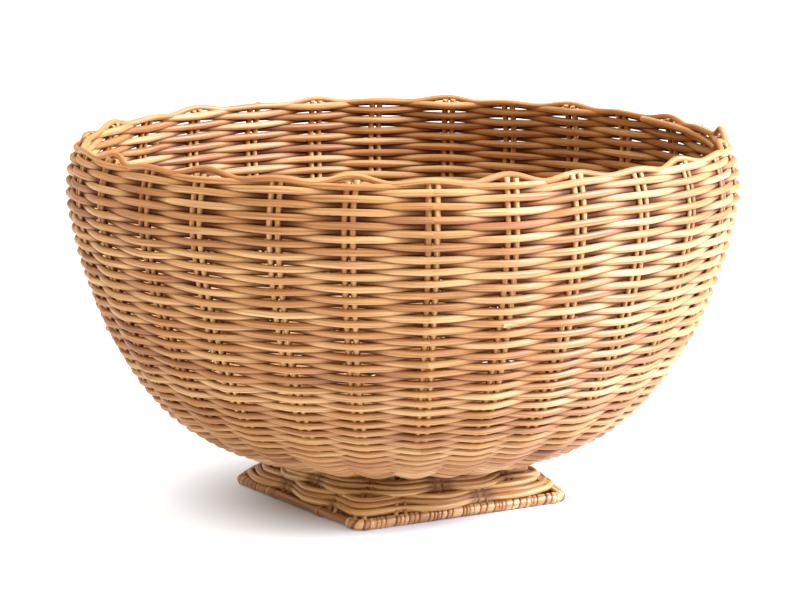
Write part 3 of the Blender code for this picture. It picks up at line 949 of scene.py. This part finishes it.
def skirt_shade_mask(points):
    """Painted shade mask: low in the hollows of the skirt, 1 on the strands that stand out."""
    share = (points[:, 2] - SKIRT_FOOT) / (SKIRT_TOP - SKIRT_BOTTOM)
    middle = skirt_middle(np.arctan2(points[:, 1], points[:, 0]), np.clip(share, 0, 1))
    apart = np.hypot(points[:, 0], points[:, 1]) - middle
    return np.clip(SHELTERED + (1 - SHELTERED) * np.abs(apart) / (SKIRT_RADIUS + 1.6 * MM), 0, 1)


# %% Lay the skirt's rows
STAKES_PER_SIDE = FOOT_STAKES // 4


def stake_direction(phase):
    """Angle of a foot stake: evenly spaced along each side, whole numbers on stakes, 0 at a corner."""
    side, place = np.divmod(np.mod(phase, FOOT_STAKES), STAKES_PER_SIDE)
    along = place / STAKES_PER_SIDE * 2 - 1
    return math.pi / 2 * side + np.arctan(along)


def skirt_row(row):
    """A row of the skirt, counted up from the rails."""
    phase = np.arange(FOOT_STAKES * POINTS_PER_PAIR) / POINTS_PER_PAIR
    angle = stake_direction(phase)
    front = 1 if row // BUNDLE % 2 else -1
    bend = front * swing(phase) * SKIRT_SWING
    share = (row + 0.3) / SKIRT_ROWS + ring_drift(angle, 9, 0.025)
    return Strand(skirt_point(angle, share, bend), SKIRT_RADIUS, closed=True)


skirt = lay("skirt_strands", [skirt_row(row) for row in range(SKIRT_ROWS)], 12, skirt_shade_mask)
finish_piece(skirt, skirt_cane, "skirt_strand", "foot_skirt")


# %% Lay the foot's rods
FOOT_ROD_RADIUS = 1.25 * MM
FOOT_ROD_INWARDS = 1.5 * MM        # the rods stand inside the middle of the skirt


def foot_rod(phase, side):
    """One rod of a foot pair, from the rail up under the floor."""
    share = np.linspace(-0.12, 1.15, 12)
    angle = stake_direction(np.array([phase]))[0]
    radius = np.linalg.norm(skirt_point(angle, 0.3, 0.0)[:2])
    turned = angle + side * PAIR_GAP / 2 / radius
    return Strand(skirt_point(np.full_like(share, turned), share, -FOOT_ROD_INWARDS), FOOT_ROD_RADIUS)


corners = range(0, FOOT_STAKES, STAKES_PER_SIDE)
between = [stake for stake in range(FOOT_STAKES) if stake not in corners]
for number, stake in enumerate(between, start=1):
    piece = lay(f"foot_rods_{number:02d}", [foot_rod(stake, -1), foot_rod(stake, 1)], 8, skirt_shade_mask)
    finish_piece(piece, stake_cane, "stake_rod", f"foot_stake_{number:02d}")

corner_rods = [foot_rod(stake, side) for stake in corners for side in (-1, 1)]
piece = lay("corner_rods", corner_rods, 8, skirt_shade_mask)
finish_piece(piece, stake_cane, "stake_rod")

# %% [markdown]
# ## Floor, light and camera
#
# A plain pale floor runs out of sight. It glows softly, though it is no lamp, so that it stays white all
# round, but not under the foot, where it would shine up through the weave; the fade of the glow there leaves
# a painted shadow round the foot. One broad lamp from the right, a little cool, is the main light. The
# surround is warm and brightest overhead, like the ceiling of a room, so the shaded side turns a deeper
# brown. The camera stands a little above the rim and far back, with a long lens, so the bowl keeps its true
# proportions.

# %% Pale floor
FLOOR_REACH = 6.0                  # metres each way
DARK_UNDER = 60 * MM               # no glow this near the middle: painted shadow under the foot
FULL_GLOW = 125 * MM               # and all of it from here on
GLOW = 0.50

shape = bmesh.new()
bmesh.ops.create_grid(shape, x_segments=2, y_segments=2, size=FLOOR_REACH)
floor_mesh = bpy.data.meshes.new("studio_floor")
shape.to_mesh(floor_mesh)
shape.free()
studio_floor = bpy.data.objects.new("studio_floor", floor_mesh)
bpy.context.scene.collection.objects.link(studio_floor)
floor_paint = bpy.data.materials.new("floor_paint")
floor_paint.use_nodes = True
paint_nodes, paint_links = floor_paint.node_tree.nodes, floor_paint.node_tree.links
paint = paint_nodes["Principled BSDF"]
paint.inputs["Base Color"].default_value = (0.68, 0.68, 0.68, 1)
paint.inputs["Roughness"].default_value = 0.9
paint.inputs["Emission Color"].default_value = (0.85, 1.0, 1.18, 1)
on_floor = paint_nodes.new("ShaderNodeTexCoord")
from_middle = paint_nodes.new("ShaderNodeVectorMath")
from_middle.operation = "LENGTH"
paint_links.new(on_floor.outputs["Object"], from_middle.inputs[0])
# painted light: the floor glows, fading to a painted shadow near the foot
glow = in_range(floor_paint.node_tree, from_middle.outputs["Value"], DARK_UNDER, FULL_GLOW, 0.0, GLOW)
paint_links.new(glow, paint.inputs["Emission Strength"])
floor_mesh.materials.append(floor_paint)
print("floor:", 2 * FLOOR_REACH, "m square")

# %% Main lamp
VIEW_TURN = math.radians(-31.18)               # the camera's direction round the basket


def lamp(name, azimuth, elevation, distance, size, power, colour):
    """A square lamp aimed at the basket. Azimuth is measured from the camera, to its right."""
    light = bpy.data.lights.new(name, "AREA")
    light.size = size
    light.energy = power
    light.color = colour
    turn = VIEW_TURN + math.radians(azimuth)
    up = math.radians(elevation)
    place = Vector((math.sin(turn) * math.cos(up), -math.cos(turn) * math.cos(up), math.sin(up))) * distance
    obj = bpy.data.objects.new(name, light)
    obj.location = place + Vector((0, 0, 0.1))
    obj.rotation_euler = (-place).to_track_quat("-Z", "Y").to_euler()
    bpy.context.scene.collection.objects.link(obj)
    print(name, power, "W")


lamp("key_lamp", azimuth=78, elevation=33, distance=2.2, size=1.0, power=152, colour=(0.89, 1.0, 1.28))

# %% Warm surround
AT_HORIZON, OVERHEAD = 0.22, 2.45

world = bpy.data.worlds.new("warm_surround")
world.use_nodes = True
room_nodes, room_links = world.node_tree.nodes, world.node_tree.links
room = room_nodes["Background"]
room.inputs["Color"].default_value = (1.0, 0.88, 0.71, 1)
direction = room_nodes.new("ShaderNodeTexCoord")
parts = room_nodes.new("ShaderNodeSeparateXYZ")
room_links.new(direction.outputs["Generated"], parts.inputs["Vector"])
brightness = in_range(world.node_tree, parts.outputs["Z"], 0.0, 1.0, AT_HORIZON, OVERHEAD)
room_links.new(brightness, room.inputs["Strength"])
bpy.context.scene.world = world
bpy.context.scene.view_settings.view_transform = "Standard"
print("surround:", AT_HORIZON, "at the horizon,", OVERHEAD, "overhead")

# %% Camera
CAMERA_BACK = 1725.5 * MM
CAMERA_HEIGHT = 402.1 * MM
CAMERA_PITCH = math.radians(9.857)
camera_data = bpy.data.cameras.new("camera")
camera_data.sensor_width = 36.0
camera_data.lens = 149.9
camera_data.clip_end = 50                      # metres
camera = bpy.data.objects.new("camera", camera_data)
camera.location = (CAMERA_BACK * math.sin(VIEW_TURN), -CAMERA_BACK * math.cos(VIEW_TURN), CAMERA_HEIGHT)
camera.rotation_euler = (math.pi / 2 - CAMERA_PITCH, 0.0, VIEW_TURN)
bpy.context.scene.collection.objects.link(camera)
bpy.context.scene.camera = camera
print("camera", round(camera.location.length, 2), "m from the foot")

# %% Hand over
bpy.context.view_layer.update()
